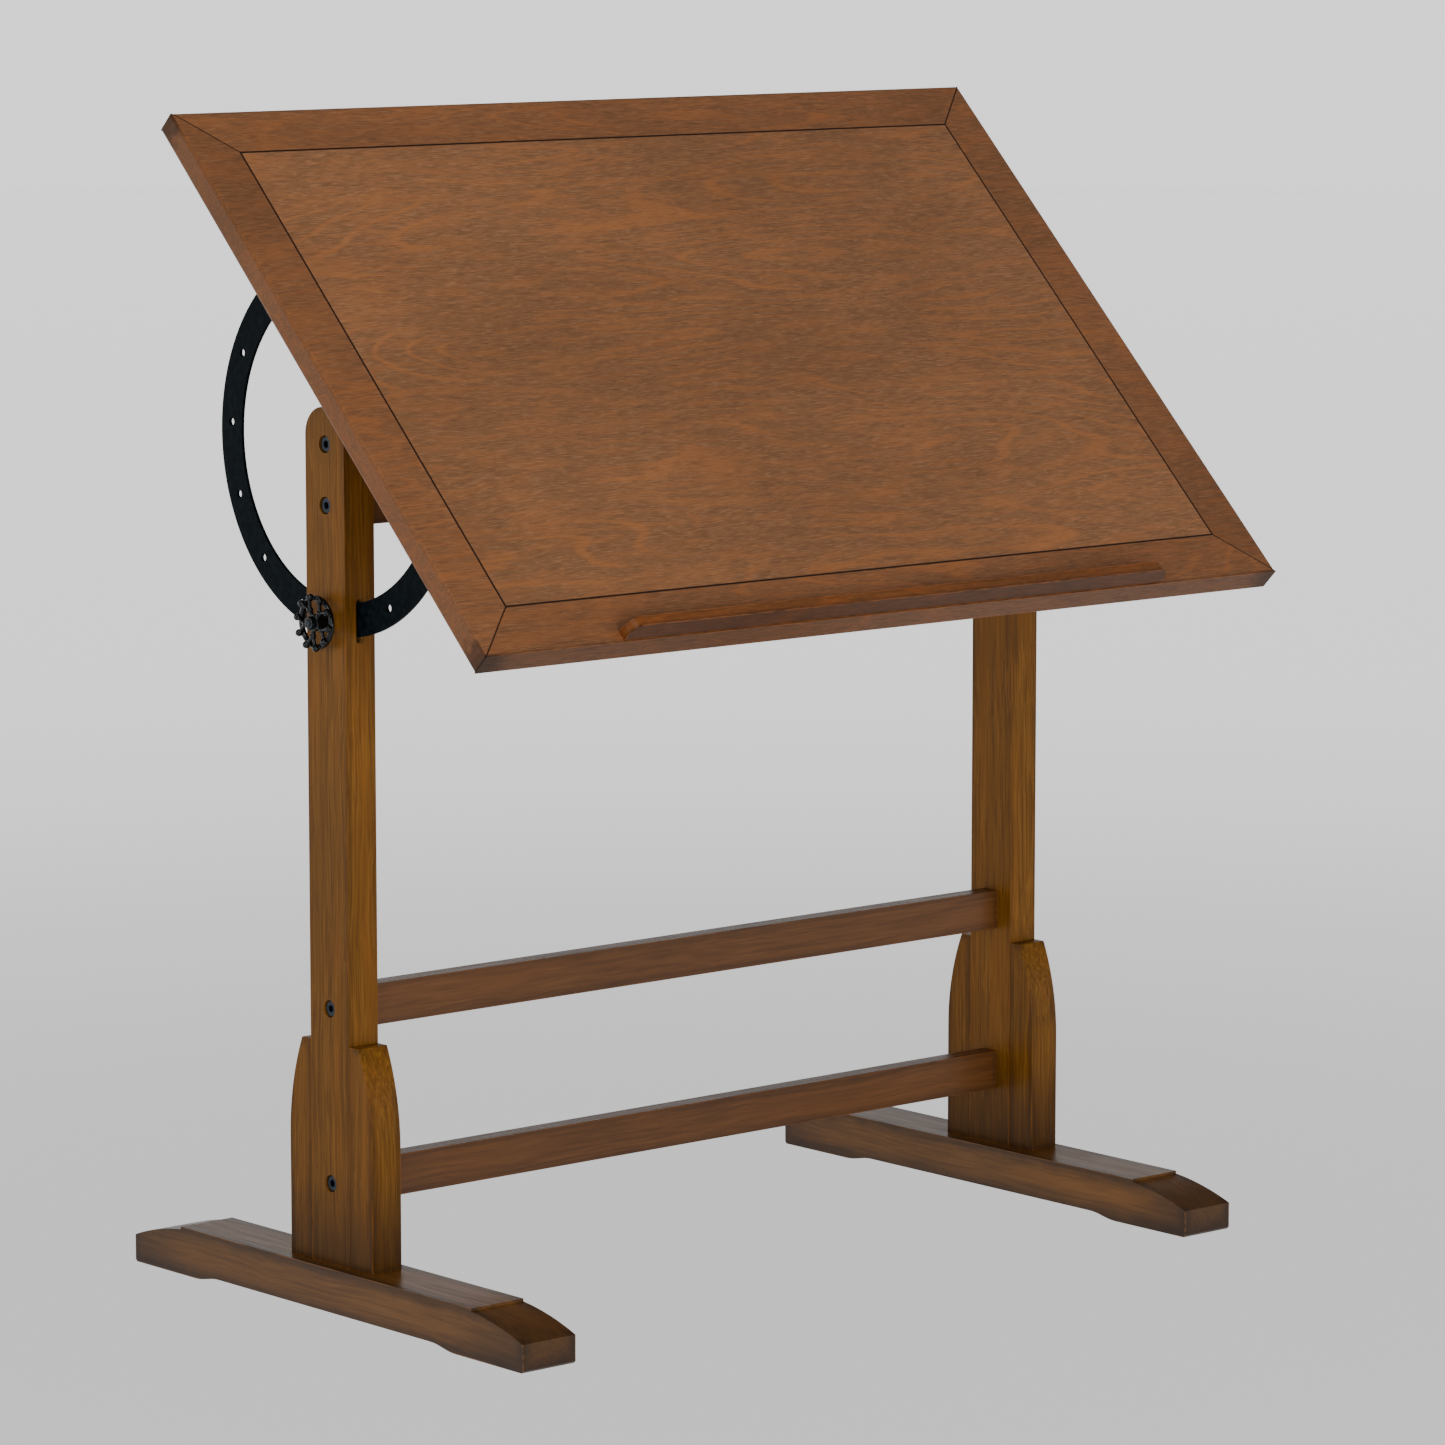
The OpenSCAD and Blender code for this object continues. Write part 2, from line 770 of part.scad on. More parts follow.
// Each spoke runs from the hub to a fork, whose two prongs end in lobes on the rim
module forked_spoke() {
    lobe_angle = 90 / wheel_spokes;
    fork = wheel_point(fork_r, 0, fork_rise);
    bar(wheel_point(hub_d / 2 - 2, 0, fork_rise), fork, spoke_r);
    translate(fork) sphere(r = knuckle_r, $fn = 24);
    for (side = [-1, 1]) {
        lobe = wheel_point(lobe_ring_r, side * lobe_angle, lobe_rise);
        bar(fork, lobe, prong_r);
        translate(lobe) sphere(r = lobe_r, $fn = 24);
    }
}

module handwheel() {
    color(black)
    difference() {
        union() {
            rod_x(hub_in_x, hub_out_x, clamp_z, hub_d);
            translate([rim_x, post_y, clamp_z]) rotate([0, 90, 0]) {
                rotate_extrude() translate([rim_r, 0]) circle(d = wheel_rim_t, $fn = 24);
                for (i = [0:wheel_spokes - 1]) {
                    rotate([0, 0, 90 + wheel_turn + 360 * i / wheel_spokes]) forked_spoke();
                }
            }
        }
        rod_x(hub_in_x - cut, hub_out_x + cut, clamp_z, clamp_d);
    }
}

left() right_foot_body();  // left_foot
right_foot_body();  // right_foot
left() right_post_body();  // left_post
right_post_body();  // right_post
left() wing(-1);  // left_front_wing
left() wing(1);  // left_back_wing
wing(-1);  // right_front_wing
wing(1);  // right_back_wing
rail(top_rail_z);  // top_rail
rail(middle_rail_z);  // middle_rail
rail(lower_rail_z);  // lower_rail
rail_bolts();
rail_barrel_nuts();
rail_dowels();
foot_bolts();
foot_washers();
wing_screws();
left() pivot_bolt();  // left_pivot_bolt
pivot_bolt();  // right_pivot_bolt
left() pivot_bush();  // left_pivot_bush
pivot_bush();  // right_pivot_bush
left() pivot_washers();  // left_pivot_washers
pivot_washers();  // right_pivot_washers
left() pivot_nut();  // left_pivot_nut
pivot_nut();  // right_pivot_nut
centre_panel();
front_border();
back_border();
left() side_border();  // left_border
side_border();  // right_border
border_splines();
pencil_ledge();
ledge_screws();
left() tilt_cheek();  // left_tilt_cheek
tilt_cheek();  // right_tilt_cheek
cheek_screws();
left() tilt_arc();  // left_tilt_arc
tilt_arc();  // right_tilt_arc
arc_screws();
left() clamp_insert();  // left_clamp_insert
clamp_insert();  // right_clamp_insert
left() clamp_washer();  // left_clamp_washer
clamp_washer();  // right_clamp_washer
left() handwheel();  // left_handwheel
handwheel();  // right_handwheel
left() clamp_screw();  // left_clamp_screw
clamp_screw();  // right_clamp_screw
left() wheel_nut();  // left_wheel_nut
wheel_nut();  // right_wheel_nut
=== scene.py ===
"""Looks of the wooden drafting table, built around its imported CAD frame."""

import json
import math

import bmesh
import bpy
from mathutils import Matrix, Vector


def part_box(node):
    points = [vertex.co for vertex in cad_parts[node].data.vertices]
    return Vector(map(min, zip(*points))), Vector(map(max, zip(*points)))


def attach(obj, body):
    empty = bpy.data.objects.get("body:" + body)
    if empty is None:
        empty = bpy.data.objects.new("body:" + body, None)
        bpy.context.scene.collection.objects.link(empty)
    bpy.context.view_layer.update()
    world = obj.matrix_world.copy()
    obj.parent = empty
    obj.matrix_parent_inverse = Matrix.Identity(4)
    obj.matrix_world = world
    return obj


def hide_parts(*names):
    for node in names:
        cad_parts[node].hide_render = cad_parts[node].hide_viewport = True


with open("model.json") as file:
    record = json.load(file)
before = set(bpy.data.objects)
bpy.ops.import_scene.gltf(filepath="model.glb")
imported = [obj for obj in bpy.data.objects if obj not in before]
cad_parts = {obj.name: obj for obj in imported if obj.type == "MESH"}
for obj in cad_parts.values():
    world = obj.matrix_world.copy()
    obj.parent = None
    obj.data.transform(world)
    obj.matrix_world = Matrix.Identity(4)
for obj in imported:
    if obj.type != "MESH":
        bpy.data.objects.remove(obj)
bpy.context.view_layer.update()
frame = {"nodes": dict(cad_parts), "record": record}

MM = 0.001
RECORD = frame["record"]
NODE_BODY = {node: body for body, nodes in RECORD["behaviour"]["bodies"].items() for node in nodes}
NODE_SLOT = {row["node"]: row["material_slot"] for row in RECORD["subparts"]}
JOINTS = {joint["name"]: joint for joint in RECORD["behaviour"]["joints"]}
PIVOT = Vector(JOINTS["tilt"]["pos_m"])
TOP_NORMAL = next(Vector(m["axis"]) for m in RECORD["mounts"] if m["name"] == "work_surface")
TILT = math.atan2(-TOP_NORMAL.y, TOP_NORMAL.z)

# The top in its own frame: x to the right, y up its slope, z along its normal, from the pivot
TOP_FRAME = Matrix.Rotation(-TILT, 4, "X") @ Matrix.Translation(-PIVOT)
STAND_FRAME = Matrix.Identity(4)
X, Y, Z = range(3)
SIDES = ("left", "right")
TOP_BOARDS = ("centre_panel", "front_border", "back_border", "left_border", "right_border")


def cad_points(node, space=STAND_FRAME):
    """The node's own vertices, in the given frame."""
    return [space @ v.co for v in frame["nodes"][node].data.vertices]


def limits(points):
    """Lowest and highest corner of the box round some points."""
    low = Vector(min(p[i] for p in points) for i in range(3))
    high = Vector(max(p[i] for p in points) for i in range(3))
    return low, high


def linear(r, g, b):
    """A colour given as 0 to 255 on screen, as the shader wants it."""
    def one(c):
        c /= 255
        return c / 12.92 if c <= 0.04045 else ((c + 0.055) / 1.055) ** 2.4
    return (one(r), one(g), one(b), 1.0)


# ---- Camera and lights ----

# Where the photo was taken from: degrees round from the front, degrees down, the place in
# metres, and the lens and sensor in mm
CAMERA_AZIMUTH = -40.91
CAMERA_PITCH = 8.055
CAMERA_PLACE = Vector((-3.566, -4.162 + PIVOT.y, 1.252))
CAMERA_LENS = 154.5
SENSOR_WIDTH = 36
VIEW_DISTANCE = 50
WORLD_STRENGTH = 0.08


def make_camera():
    data = bpy.data.cameras.new("camera")
    data.lens = CAMERA_LENS
    data.sensor_width = SENSOR_WIDTH
    data.clip_end = VIEW_DISTANCE
    cam = bpy.data.objects.new("camera", data)
    bpy.context.scene.collection.objects.link(cam)
    a, e = math.radians(CAMERA_AZIMUTH), math.radians(CAMERA_PITCH)
    back = Vector((math.sin(a) * math.cos(e), -math.cos(a) * math.cos(e), math.sin(e)))
    cam.location = CAMERA_PLACE
    cam.rotation_mode = "QUATERNION"
    cam.rotation_quaternion = (-back).to_track_quat("-Z", "Y")
    bpy.context.scene.camera = cam


def area_light(name, place, target, size, power):
    """A white square light at place, facing target, with its size in metres and power in watts."""
    data = bpy.data.lights.new(name, "AREA")
    data.shape = "SQUARE"
    data.size = size
    data.energy = power
    light = bpy.data.objects.new(name, data)
    bpy.context.scene.collection.objects.link(light)
    light.location = place
    light.rotation_mode = "QUATERNION"
    light.rotation_quaternion = (Vector(target) - Vector(place)).to_track_quat("-Z", "Y")


make_camera()
area_light("key", (-1.7, -1.0, 2.7), (-0.1, 0, 0.7), 1.0, 20)
area_light("front_fill", (-0.7, -3.2, 0.9), (0, 0, 0.4), 1.6, 44)
area_light("left_fill", (-3.4, 0.4, 1.4), (0, 0, 0.5), 1.1, 18)
area_light("glint", (-2.2, -1.3, 1.9), (-0.4, 0, 0.6), 0.12, 4)
area_light("right_top", (2.0, -0.6, 3.0), (0, 0, 0.7), 2.4, 9)
area_light("back_rim", (0.6, 3.0, 2.8), (0, 0, 0.6), 2.2, 20)

world = bpy.data.worlds.new("studio")
bpy.context.scene.world = world
world.use_nodes = True
background = world.node_tree.nodes["Background"]
background.inputs["Color"].default_value = (1, 1, 1, 1)
background.inputs["Strength"].default_value = WORLD_STRENGTH


# ---- Shader building blocks ----

class Shader:
    """A material under construction: each method adds one node and returns its output."""

    def __init__(self, name):
        self.material = bpy.data.materials.new(name)
        self.material.use_nodes = True
        self.tree = self.material.node_tree
        self.surface = self.tree.nodes["Principled BSDF"]

    def node(self, kind, **inputs):
        made = self.tree.nodes.new(kind)
        for name, value in inputs.items():
            self.put(made.inputs[name.replace("_", " ")], value)
        return made

    def put(self, socket, value):
        if isinstance(value, bpy.types.NodeSocket):
            self.tree.links.new(value, socket)
        else:
            socket.default_value = value

    def set(self, **inputs):
        for name, value in inputs.items():
            self.put(self.surface.inputs[name.replace("_", " ")], value)

    def math(self, operation, a, b=0.0, c=0.0):
        made = self.tree.nodes.new("ShaderNodeMath")
        made.operation = operation
        for socket, value in zip(made.inputs, (a, b, c)):
            self.put(socket, value)
        return made.outputs[0]

    def vector(self, operation, a, b=(0.0, 0.0, 0.0)):
        made = self.tree.nodes.new("ShaderNodeVectorMath")
        made.operation = operation
        self.put(made.inputs[0], a)
        self.put(made.inputs[1], b)
        return made.outputs[0]

    def split(self, vector):
        return self.node("ShaderNodeSeparateXYZ", Vector=vector).outputs

    def place(self, space):
        """The object's coordinates in metres, in the given frame."""
        coords = self.tree.nodes.new("ShaderNodeTexCoord").outputs["Object"]
        turn = space.to_euler()
        return self.node("ShaderNodeMapping", Vector=coords, Rotation=turn,
                         Location=space.to_translation()).outputs[0]

    def noise(self, coords, scale, detail=3.0, roughness=0.5):
        """Grey noise, with scale in cells per metre."""
        return self.node("ShaderNodeTexNoise", Vector=coords, Scale=scale, Detail=detail,
                         Roughness=roughness).outputs[0]

    def ramp(self, value, low, high, to_low=0.0, to_high=1.0):
        """Value from low to high becomes to_low to to_high smoothly, and stays inside them."""
        made = self.node("ShaderNodeMapRange", Value=value)
        made.interpolation_type = "SMOOTHSTEP"
        numbers = {"From Min": low, "From Max": high, "To Min": to_low, "To Max": to_high}
        for name, number in numbers.items():
            made.inputs[name].default_value = number
        return made.outputs[0]

    def mix(self, factor, a, b, how="MIX"):
        made = self.tree.nodes.new("ShaderNodeMix")
        made.data_type = "RGBA"
        made.blend_type = how
        self.put(made.inputs["Factor"], factor)
        self.put(made.inputs[6], a)
        self.put(made.inputs[7], b)
        return made.outputs[2]

    def bump(self, height, strength, distance):
        made = self.node("ShaderNodeBump", Height=height, Strength=strength, Distance=distance)
        self.set(Normal=made.outputs[0])


def edge_distance(s, place, centre, half):
    """How far a point on a board's surface is from the nearest edge of the board's box."""
    offset = s.split(s.vector("SUBTRACT", place, centre))
    gap = [s.math("SUBTRACT", h, s.math("ABSOLUTE", v)) for v, h in zip(offset, half)]
    lower = s.math("MINIMUM", gap[0], gap[1])
    upper = s.math("MAXIMUM", gap[0], gap[1])
    return s.math("MAXIMUM", lower, s.math("MINIMUM", upper, gap[2]))


# How far from a joint's middle its groove is fully dark, and how far it fades out
GROOVE_CORE = 0.6 * MM
GROOVE_BLUR = 1.3 * MM


def joint_lines(s, place):
    """1 on the fine dark grooves round the centre panel and along the mitres, 0 elsewhere."""
    low, high = limits(cad_points("centre_panel", TOP_FRAME))
    x, y = s.split(place)[:2]
    out_x = s.math("SUBTRACT", s.math("ABSOLUTE", x), high.x)
    mid_y, half_y = (low.y + high.y) / 2, (high.y - low.y) / 2
    out_y = s.math("SUBTRACT", s.math("ABSOLUTE", s.math("SUBTRACT", y, mid_y)), half_y)
    outside = s.math("MAXIMUM", out_x, out_y)
    rectangle = s.ramp(s.math("ABSOLUTE", outside), GROOVE_CORE, GROOVE_BLUR, 1.0, 0.0)
    off_mitre = s.math("ABSOLUTE", s.math("SUBTRACT", out_x, out_y))
    mitre = s.math("MULTIPLY", s.ramp(off_mitre, GROOVE_CORE, GROOVE_BLUR, 0.85, 0.0),
                   s.math("GREATER_THAN", outside, 0.0))
    return s.math("MAXIMUM", rectangle, mitre)


def corner_stain_and_edge_shade(s, place, ragged):
    """Darker stain on the top's outside edges where they reach its corners, and painted shade, a weaker
    darkening, all along them.
    """
    low, high = limits([p for board in TOP_BOARDS for p in cad_points(board, TOP_FRAME)])
    centre, half = (low + high) / 2, (high - low) / 2
    x, y = s.split(s.vector("SUBTRACT", place, centre))[:2]
    gap_x = s.math("SUBTRACT", half.x, s.math("ABSOLUTE", x))
    gap_y = s.math("SUBTRACT", half.y, s.math("ABSOLUTE", y))
    on_edge = s.ramp(s.math("MINIMUM", gap_x, gap_y), 0.6 * MM, 2.4 * MM, 0.75, 0.0)
    to_corner = s.math("MULTIPLY_ADD", ragged, 30 * MM, s.math("MAXIMUM", gap_x, gap_y))
    # The ramp's floor of 0.3 is painted shade along every outside edge; the rise to 1.0 near the corners
    # is stain.
    return s.math("MULTIPLY", on_edge, s.ramp(to_corner, 22 * MM, 48 * MM, 1.0, 0.3))


# ---- Materials ----

# Screen colours of each stained wood: shadow of the grain, body, light streaks, orange figure
TONES = {
    "top_wood": ((97, 68, 46), (125, 85, 56), (146, 103, 71), (158, 98, 54)),
    "border_wood": ((94, 63, 42), (123, 82, 53), (142, 97, 65), (153, 92, 50)),
    "post_wood": ((76, 46, 13), (106, 69, 21), (124, 83, 30), (134, 81, 23)),
    "foot_wood": ((62, 39, 15), (99, 64, 26), (112, 74, 34), (124, 78, 29)),
    "rail_wood": ((64, 39, 18), (95, 59, 28), (106, 68, 36), (118, 70, 30)),
    "raw_wood": ((140, 98, 48), (182, 138, 78), (206, 166, 104), (198, 142, 76)),
}
# Each wood's grain: noise cells per metre across it and how much longer they are along it,
# how much of it shows, how much of the wavy figure shows, and how glossy the lacquer is
GRAIN = {
    "top_wood": (760, 12, 0.75, 0.5, 0.11),
    "border_wood": (720, 12, 0.7, 0.4, 0.09),
    "post_wood": (420, 50, 0.7, 0.15, 0.08),
    "foot_wood": (260, 30, 0.5, 0.1, 0.25),
    "rail_wood": (300, 30, 0.5, 0.15, 0.22),
    "raw_wood": (300, 20, 0.5, 0.1, 0.05),
}
# How many growth rings fit in the whole range of the noise that the wavy figure follows
RINGS = 30.0
# Dark brown of the toner sprayed on the wood, also used as painted shade on the top's front faces and
# outside edges.
DARK_TONER_AND_SHADE = linear(34, 20, 11)
GROOVE = linear(26, 14, 7)


def inside(s, place, low, high, blur=0.4 * MM):
    """1 inside a box, 0 outside it."""
    centre, half = (low + high) / 2, (high - low) / 2
    offset = s.split(s.vector("ABSOLUTE", s.vector("SUBTRACT", place, centre)))
    masks = [s.ramp(d, h - blur, h + blur, 1.0, 0.0) for d, h in zip(offset, half)]
    return s.math("MULTIPLY", masks[0], s.math("MULTIPLY", masks[1], masks[2]))


def wood(node, space, grain, seed, edge_tone=0.35, edge_reach=14 * MM, toning_and_shade=(), raw=None,
         shade=(1, 1, 1)):
    """Stained, lacquered wood for one board. grain is the axis the fibres run along. The list of
    darkenings holds (axis, start, end, amount) for darker colour that fades out from start to end:
    toner spray on the stand, painted shade on the top's front faces. raw is a box inside which
    the wood was cut after it was stained, and shade tints the whole board."""
    s = Shader(node + "_wood")
    dark, body, light, orange = (linear(*c) for c in TONES[NODE_SLOT[node]])
    fineness, length, strength, figure, gloss = GRAIN[NODE_SLOT[node]]
    low, high = limits(cad_points(node, space))
    place = s.place(space)
    shifted = s.vector("ADD", place, (seed * 3.7, seed * 1.9, seed * 2.3))
    wobble = s.node("ShaderNodeTexNoise", Vector=shifted, Scale=6.0, Detail=2.0).outputs["Color"]
    wavy = s.vector("ADD", shifted, s.vector("MULTIPLY", wobble, (0.014, 0.014, 0.014)))

    def along(coords, stretch):
        thin = tuple(1 / stretch if i == grain else 1.0 for i in range(3))
        return s.vector("MULTIPLY", coords, thin)

    streak = s.noise(along(wavy, length), fineness, 4.0, 0.65)
    fibre = s.noise(along(wavy, length * 1.2), fineness * 1.4, 2.0, 0.6)
    broad = s.noise(along(wavy, length * 0.5), fineness * 0.16, 3.0, 0.55)
    cloud = s.noise(along(shifted, 1.8), 5.0, 3.0, 0.5)
    patch = s.noise(along(shifted, 1.5), 8.0, 2.0)
    growth = s.noise(along(wavy, 8.0), 9.0, 2.0, 0.35)
    rings = s.math("PINGPONG", s.math("MULTIPLY", growth, RINGS), 0.5)

    shadow = s.math("MULTIPLY", s.ramp(streak, 0.34, 0.62, 1.0, 0.0), strength)
    colour = s.mix(shadow, body, dark)
    colour = s.mix(s.math("MULTIPLY", s.ramp(fibre, 0.5, 0.66), strength), colour, light)
    colour = s.mix(s.math("MULTIPLY", s.ramp(broad, 0.42, 0.66), strength * 0.4), colour, orange)
    lines = s.math("MULTIPLY", s.ramp(rings, 0.02, 0.16, 1.0, 0.0), s.ramp(patch, 0.42, 0.56))
    lines = s.math("MULTIPLY", lines, s.ramp(streak, 0.3, 0.55, 0.3, 1.0))
    colour = s.mix(s.math("MULTIPLY", lines, figure), colour, orange)
    cloudy = s.mix(s.ramp(cloud, 0.3, 0.7), tuple(0.86 * c for c in shade) + (1,),
                   tuple(1.1 * c for c in shade) + (1,))
    colour = s.mix(1.0, colour, cloudy, "MULTIPLY")

    edge = edge_distance(s, place, (low + high) / 2, (high - low) / 2)
    reach = s.math("MULTIPLY_ADD", s.noise(wavy, 40.0), edge_reach * 0.8, edge)
    colour = s.mix(s.ramp(reach, edge_reach * 0.4, edge_reach * 1.5, edge_tone, 0.0), colour, DARK_TONER_AND_SHADE)
    axes = s.split(place)
    # Darker colour fading out from start to end: toner spray on the stand, painted shade on the top's
    # front faces.
    for axis, start, end, amount in toning_and_shade:
        ragged = s.math("MULTIPLY_ADD", s.noise(wavy, 30.0), (start - end) * 0.3, axes[axis])
        low_side = start < end
        darkening = s.ramp(ragged, min(start, end), max(start, end),
                      amount if low_side else 0.0, 0.0 if low_side else amount)
        colour = s.mix(darkening, colour, DARK_TONER_AND_SHADE)
    # Painted highlight: a thin lighter orange line near every edge of the board's box, standing in for
    # the light the rounded edges catch.
    painted_edge_highlight = s.math("MULTIPLY", s.ramp(edge, 0.5 * MM, 1.5 * MM, 0.45, 0.0), s.ramp(fibre, 0.35, 0.6))
    colour = s.mix(painted_edge_highlight, colour, orange)
    # On the top's boards: stain at the corners and painted shade along the outside edges, then the dark
    # joint grooves.
    if node in TOP_BOARDS:
        colour = s.mix(corner_stain_and_edge_shade(s, place, broad), colour, DARK_TONER_AND_SHADE)
        colour = s.mix(joint_lines(s, place), colour, GROOVE)
    if raw:
        cut_dark, cut_body = (linear(*c) for c in TONES["raw_wood"][:2])
        pale = s.mix(s.ramp(streak, 0.3, 0.7), cut_dark, cut_body)
        colour = s.mix(inside(s, place, *raw), colour, pale)
    s.set(Base_Color=colour, Roughness=s.ramp(streak, 0.3, 0.7, 0.44, 0.34),
          Specular_IOR_Level=gloss, Coat_Weight=0.03, Coat_Roughness=0.2)
    s.bump(s.math("MULTIPLY_ADD", fibre, 0.6, streak), 0.15, 0.2 * MM)
    return s


def metal(name, colour, metallic, roughness, spread, grain_scale, grain_height, coat=0.0, wear=None,
          level=0.5):
    """A metal or painted metal with uneven gloss and a fine surface texture. wear is the
    colour of small worn specks."""
    s = Shader(name)
    place = s.place(STAND_FRAME)
    cloud = s.noise(place, grain_scale * 0.12, 4.0, 0.6)
    fine = s.noise(place, grain_scale, 3.0, 0.55)
    base = linear(*colour)
    lifted = tuple(min(1.0, c * 1.7 + 0.004) for c in base[:3]) + (1.0,)
    tint = s.mix(s.ramp(cloud, 0.35, 0.7), base, lifted)
    if wear:
        tint = s.mix(s.ramp(s.noise(place, 420.0, 5.0, 0.7), 0.66, 0.74, 0.0, 0.5), tint, linear(*wear))
    s.set(Base_Color=tint, Metallic=metallic, Specular_IOR_Level=level, Coat_Weight=coat,
          Coat_Roughness=0.08, Roughness=s.ramp(cloud, 0.3, 0.7, roughness - spread, roughness + spread))
    s.bump(fine, 0.3, grain_height)
    return s


# Each slot's metal: name, colour, how metallic, roughness and its spread, the scale and height
# of its texture, and what differs from the usual
METALS = {
    "black_bolt": metal("black_oxide", (30, 38, 46), 0.7, 0.38, 0.08, 1500.0, 0.04 * MM),
    "zinc_steel": metal("zinc_plate", (168, 170, 174), 1.0, 0.34, 0.08, 1200.0, 0.03 * MM,
                        wear=(120, 116, 104)),
    "brass": metal("turned_brass", (186, 142, 70), 1.0, 0.28, 0.07, 1400.0, 0.03 * MM,
                   wear=(120, 88, 40)),
    "black_arc": metal("powder_coat", (2, 9, 13), 0.0, 0.5, 0.06, 1300.0, 0.05 * MM, level=0.03),
    "black_wheel": metal("gloss_enamel", (2, 5, 7), 0.0, 0.1, 0.03, 500.0, 0.02 * MM, coat=0.22,
                         level=0.18),
}


# ---- Pieces from the CAD solids, with eased edges ----

# Two faces that meet at more degrees than this have a sharp edge between them
SHARP = 34


def copy_of(node):
    """A new mesh object with the node's shape: welded, and its flat faces joined up."""
    mesh = bpy.data.meshes.new(node + "_mesh")
    bm = bmesh.new()
    bm.from_mesh(frame["nodes"][node].data)
    bmesh.ops.remove_doubles(bm, verts=bm.verts, dist=0.002 * MM)
    bmesh.ops.dissolve_limit(bm, angle_limit=math.radians(0.6), verts=bm.verts, edges=bm.edges)
    bmesh.ops.recalc_face_normals(bm, faces=bm.faces)
    bm.to_mesh(mesh)
    bm.free()
    piece = bpy.data.objects.new(node + "_eased", mesh)
    bpy.context.scene.collection.objects.link(piece)
    return piece


def stand_for(piece, node, shader):
    """Gives the piece its material and puts it in its CAD node's place."""
    piece.data.materials.clear()
    piece.data.materials.append(shader.material)
    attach(piece, NODE_BODY[node])
    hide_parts(node)


def smooth(piece, angle):
    """Smooth shading, except across edges sharper than the angle in degrees."""
    piece.data.polygons.foreach_set("use_smooth", [True] * len(piece.data.polygons))
    piece.data.set_sharp_from_angle(angle=math.radians(angle))


def ease(piece, width_of, segments):
    """Rounds every sharp edge. width_of(edge's middle) gives the radius in metres."""
    bm = bmesh.new()
    bm.from_mesh(piece.data)
    weight = bm.edges.layers.float.new("bevel_weight_edge")
    widths = {}
    for edge in bm.edges:
        if len(edge.link_faces) == 2 and edge.calc_face_angle() > math.radians(SHARP):
            widths[edge.index] = width_of((edge.verts[0].co + edge.verts[1].co) / 2)
    widest = max(widths.values())
    bm.edges.ensure_lookup_table()
    for index, width in widths.items():
        bm.edges[index][weight] = width / widest
    bm.to_mesh(piece.data)
    bm.free()
    smooth(piece, SHARP)
    bevel = piece.modifiers.new("eased_edges", "BEVEL")
    bevel.limit_method = "WEIGHT"
    bevel.width = widest
    bevel.segments = segments
    bevel.use_clamp_overlap = True
    bevel.harden_normals = False
    weighted = piece.modifiers.new("flat_faces", "WEIGHTED_NORMAL")
    weighted.keep_sharp = True
    weighted.weight = 100


def eased(node, shader, width=1.5 * MM, width_of=None, segments=3):
    """The node's visual piece. Its edges have one radius, or width_of gives each edge's own."""
    piece = copy_of(node)
    ease(piece, width_of or (lambda middle: width), segments)
    stand_for(piece, node, shader)


# ---- Stand ----

# The box of raw wood in a post's slot: half its width, its room above and below the arc, and
# the stained wood left in front of it and behind it
SLOT_HALF_WIDTH = 4.6 * MM
SLOT_ROOM = 8 * MM
SLOT_MOUTH = 1 * MM
# The darker spray starts this far outside an end, and reaches this far along a foot from its
# ends, up a foot's sides, and up a post from the foot
SPRAY_BEFORE = 10 * MM
FOOT_END_SPRAY = 75 * MM
FOOT_SIDE_SPRAY = 20 * MM
POST_SPRAY = 85 * MM


def slot_box(side):
    """The inside of the arc's slot in a post."""
    low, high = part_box(side + "_post")
    reach = [math.hypot(p.y, p.z) for p in cad_points(side + "_tilt_arc", TOP_FRAME)]
    middle = (low.x + high.x) / 2
    bottom, top = PIVOT.z - max(reach) - SLOT_ROOM, PIVOT.z - min(reach) + SLOT_ROOM
    return (Vector((middle - SLOT_HALF_WIDTH, low.y + SLOT_MOUTH, bottom)),
            Vector((middle + SLOT_HALF_WIDTH, high.y - SLOT_MOUTH, top)))


def make_stand():
    low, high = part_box("left_foot")
    ends = [(Y, low.y - SPRAY_BEFORE, low.y + FOOT_END_SPRAY, 0.5),
            (Y, high.y + SPRAY_BEFORE, high.y - FOOT_END_SPRAY, 0.5),
            (Z, low.z, low.z + FOOT_SIDE_SPRAY, 0.4)]
    base = [(Z, high.z - SPRAY_BEFORE, high.z + POST_SPRAY, 0.58)]
    for number, side in enumerate(SIDES):
        foot = side + "_foot"
        shader = wood(foot, STAND_FRAME, Y, seed=3 + number, edge_tone=0.65, edge_reach=12 * MM,
                      toning_and_shade=ends)
        eased(foot, shader, 2.2 * MM, segments=4)
        post = side + "_post"
        shader = wood(post, STAND_FRAME, Z, seed=11 + number, edge_tone=0.22, edge_reach=7 * MM,
                      toning_and_shade=base, raw=slot_box(side))
        eased(post, shader, 1.6 * MM)
        for place, seed in (("front", 17), ("back", 19)):
            wing = f"{side}_{place}_wing"
            shader = wood(wing, STAND_FRAME, Z, seed=seed + 3 * number, edge_tone=0.45,
                          edge_reach=9 * MM, toning_and_shade=base)
            eased(wing, shader, 2.0 * MM)
    for number, rail in enumerate(("top_rail", "middle_rail", "lower_rail")):
        shader = wood(rail, STAND_FRAME, X, seed=23 + number, edge_tone=0.35, edge_reach=8 * MM)
        eased(rail, shader, 1.5 * MM)


# ---- Tilting top ----

# The rounding of the top's rim and of its joints' edges, and how near an edge on the rim is
RIM_RADIUS = 3.2 * MM
JOINT_RADIUS = 0.5 * MM
RIM_NEAR = 0.5 * MM
# The boards that were stained darker, the tint of those and of the others, and the ledge's
DARK_BOARDS = ("left_border", "right_border", "front_border")
DARK_TINT = 0.95
PALE_TINT = 1.06
LEDGE_TINT = (0.75, 0.6, 0.38)


def front_painted_shade(front, amount):
    """Painted shade on a front face of the top, at y = front: darker colour standing in for the shade
    that face is in.
    """
    return [(Y, front - 2 * MM, front + 3 * MM, amount)]


